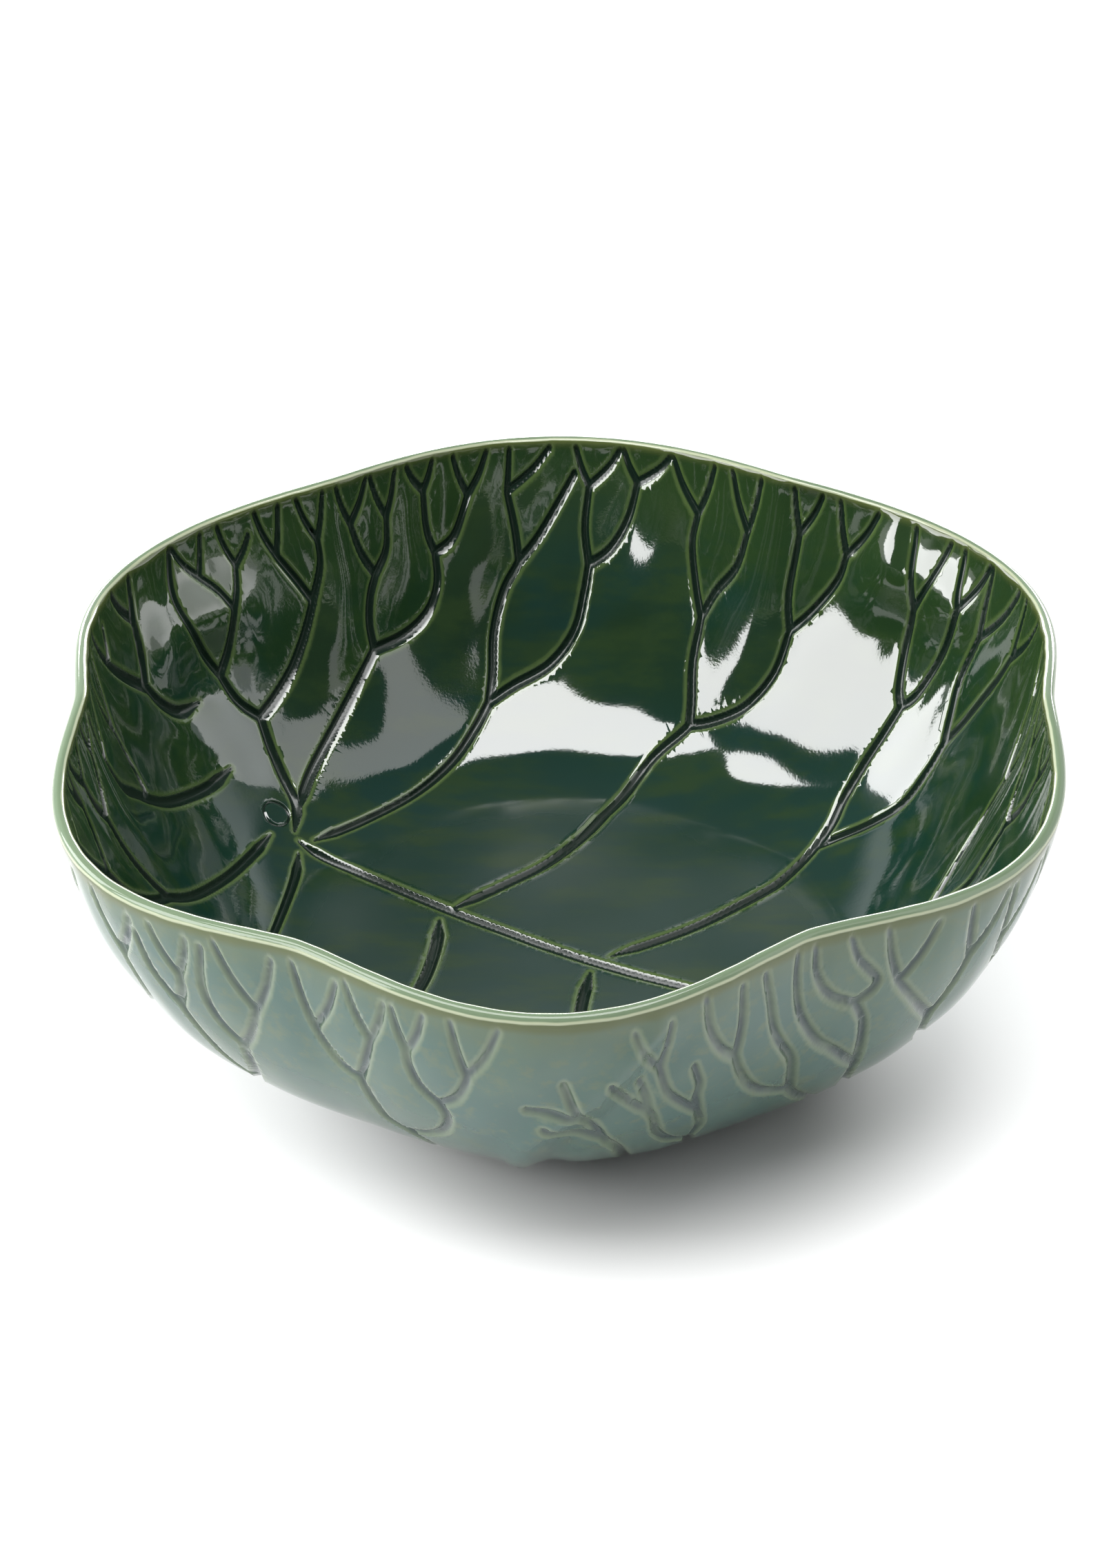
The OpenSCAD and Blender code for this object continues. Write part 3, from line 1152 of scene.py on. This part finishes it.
def glaze():
    """Dark green glaze inside and pale celadon outside, pooled in the veins and thin on every edge."""
    material, n, shader = new_material("leaf_glaze")
    at = Surface(n)
    bare = bare_clay(n, at)
    colour = n.mix(at.inside, outside_colour(n, at), inside_colour(n, at))
    colour = n.mix(bare, with_rim(n, at, colour), CLAY)
    n.put(shader.inputs["Base Color"], colour)

    from_rim = n.shifted(at.edge, n.math("SUBTRACT", at.cloud, 0.5), 30)
    on_floor = n.times(n.ramp(from_rim, FLOOR_FROM, FLOOR_FULL), n.ramp(at.lip, 1.0, 3.0))
    settled = n.math("MAXIMUM", on_floor, n.times(n.ramp(at.cut, 0.4, 1.0), 0.7))
    settled = n.times(settled, at.inside)
    rough = n.shifted(GLAZE_ROUGHNESS, settled, SETTLED_ROUGHNESS)
    rough = n.math("MAXIMUM", rough, n.times(bare, CLAY_ROUGHNESS))
    n.put(shader.inputs["Roughness"], rough)
    shine = n.times(n.ramp(at.edge, SHINE_FROM, SHINE_FULL), n.ramp(at.cut, 0.9, 0.25))
    n.put(shader.inputs["IOR"], n.shifted(OUTSIDE_IOR, shine, INSIDE_MORE_IOR))
    peel = n.bump(n.noise(at.place, 3.2, 2.0, 0.5, 5.0), 0.012 * MM)
    peel = n.bump(n.noise(at.place, 0.9, 2.0, 0.5, 6.0), 0.010 * MM, peel)
    n.put(shader.inputs["Normal"], peel)
    return material


# The studio floor, with its lengths in metres
FLOOR_RADIUS = 1.6
FLOOR_SIDES = 128
FLOOR_DROP = 0.0002  # so that the foot's flat face and the floor never share a plane
GLOW_FROM = 0.5
SHADOW_MIDDLE = (0.03, -0.08, 0.0)
SHADOW_FROM = 0.04
SHADOW_TO = 0.135
NEAR_GLOW = 0.48


def floor_material():
    """A pale table that glows past the bowl's shadow, and more at its edge, to meet the white room."""
    material, n, shader = new_material("studio_floor")
    shader.inputs["Base Color"].default_value = (0.6, 0.6, 0.6, 1)
    shader.inputs["Roughness"].default_value = 0.9
    shader.inputs["Specular IOR Level"].default_value = 0.1
    place = n.node("TexCoord").outputs["Object"]
    away = n.node("VectorMath", operation="LENGTH")
    n.put(away.inputs[0], place)
    from_shadow = n.node("VectorMath", operation="DISTANCE")
    n.put(from_shadow.inputs[0], place)
    from_shadow.inputs[1].default_value = SHADOW_MIDDLE
    shader.inputs["Emission Color"].default_value = (1, 1, 1, 1)
    near_glow = n.times(n.ramp(from_shadow.outputs["Value"], SHADOW_FROM, SHADOW_TO), NEAR_GLOW)
    far_glow = n.ramp(away.outputs["Value"], GLOW_FROM, FLOOR_RADIUS * 0.9)
    n.put(shader.inputs["Emission Strength"], n.math("ADD", near_glow, far_glow))
    return material


# ---- The piece ----

bowl, plan_middle = make_bowl()
bowl.data.materials.append(glaze())
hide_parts("bowl")
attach(bowl, "root")

# ---- The studio: pale floor, softboxes and camera ----


def studio_floor():
    mesh = bpy.data.meshes.new("studio_floor")
    turns = [2 * math.pi * i / FLOOR_SIDES for i in range(FLOOR_SIDES)]
    rim = [(FLOOR_RADIUS * math.cos(a), FLOOR_RADIUS * math.sin(a), -FLOOR_DROP) for a in turns]
    mesh.from_pydata(rim, [], [tuple(range(FLOOR_SIDES))])
    obj = bpy.data.objects.new("studio_floor", mesh)
    obj.data.materials.append(floor_material())
    bpy.context.scene.collection.objects.link(obj)


def softbox(name, middle, size, facing, glow):
    """A rectangular softbox: size is across and up, facing the point that it looks at, glow its radiance."""
    light = bpy.data.lights.new(name, "AREA")
    light.shape = "RECTANGLE"
    light.size, light.size_y = size
    light.energy = glow * math.pi * size[0] * size[1]
    obj = bpy.data.objects.new(name, light)
    obj.location = middle
    look = np.array(facing, float) - np.array(middle, float)
    look /= np.linalg.norm(look)
    across = np.cross(look, [0, 0, 1]) if abs(look[2]) < 0.99 else np.array([1.0, 0, 0])
    across /= np.linalg.norm(across)
    up = np.cross(across, look)
    matrix = np.eye(4)
    matrix[:3, 0], matrix[:3, 1], matrix[:3, 2], matrix[:3, 3] = across, up, -look, middle
    obj.matrix_world = Matrix(matrix.tolist())
    bpy.context.scene.collection.objects.link(obj)


def studio_lights():
    softbox("top_light", (-0.28, -0.33, 1.5), (1.75, 0.74), (-0.28, -0.33, 0), 7.9)
    softbox("left_light", (-1.5, -0.7, 0.86), (1.2, 1.12), (0, -0.7, 0.86), 7.6)
    softbox("left_back_light", (-1.5, 0.5, 0.72), (0.85, 0.84), (0, 0.5, 0.72), 7.6)
    softbox("back_light", (0.1, 2.0, 0.55), (2.6, 0.5), (0, 0, 0.1), 14)
    softbox("right_card", (1.5, -0.2, 1.2), (1.3, 2.2), (0, -0.2, 1.2), 1.5)
    softbox("right_far_card", (1.5, -1.2, 0.4), (0.7, 0.5), (0, -1.2, 0.4), 0.7)


def studio_world():
    """Dim room: dark towards the front, paler behind, and pale near the floor."""
    world = bpy.data.worlds.new("studio_world")
    world.use_nodes = True
    n = Nodes(world.node_tree)
    split = n.node("SeparateXYZ")
    n.put(split.inputs[0], n.node("TexCoord").outputs["Generated"])
    behind = n.ramp(split.outputs["Y"], -0.5, 0.7)
    room = n.mix(n.ramp(split.outputs["Z"], 0.64, 0.50), (0.12, 0.14, 0.14), (0.8, 0.87, 0.88))
    room = n.mix(behind, (0.05, 0.055, 0.055), room)
    near_floor = n.ramp(split.outputs["Z"], 0.3, 0.12)
    horizon = n.times(near_floor, n.ramp(split.outputs["Y"], -0.6, -0.2))
    room = n.mix(horizon, room, (1, 1, 1))
    room = n.mix(n.ramp(split.outputs["Z"], 0.01, -0.01), room, (1, 1, 1))
    background = world.node_tree.nodes["Background"]
    n.put(background.inputs["Color"], room)
    bpy.context.scene.world = world


# The camera looks down at the bowl from the front, at the middle of its rim and a little below.
CAMERA_ELEVATION = math.radians(33)
CAMERA_DISTANCE = 1.9685
AIM_LOWER = math.radians(0.847)
LENS = 141.3


def studio_camera():
    data = bpy.data.cameras.new("camera")
    data.lens = LENS
    data.sensor_width = 36
    data.clip_end = 100
    obj = bpy.data.objects.new("camera", data)
    back = CAMERA_DISTANCE * math.cos(CAMERA_ELEVATION)
    up = CAMERA_DISTANCE * math.sin(CAMERA_ELEVATION)
    obj.location = (-plan_middle[0], -plan_middle[1] - back, RIM_HEIGHT * MM + up)
    obj.rotation_euler = (math.pi / 2 - CAMERA_ELEVATION - AIM_LOWER, 0, 0)
    bpy.context.scene.collection.objects.link(obj)
    bpy.context.scene.camera = obj


studio_floor()
studio_lights()
studio_world()
studio_camera()
bpy.context.scene.view_settings.view_transform = "Standard"
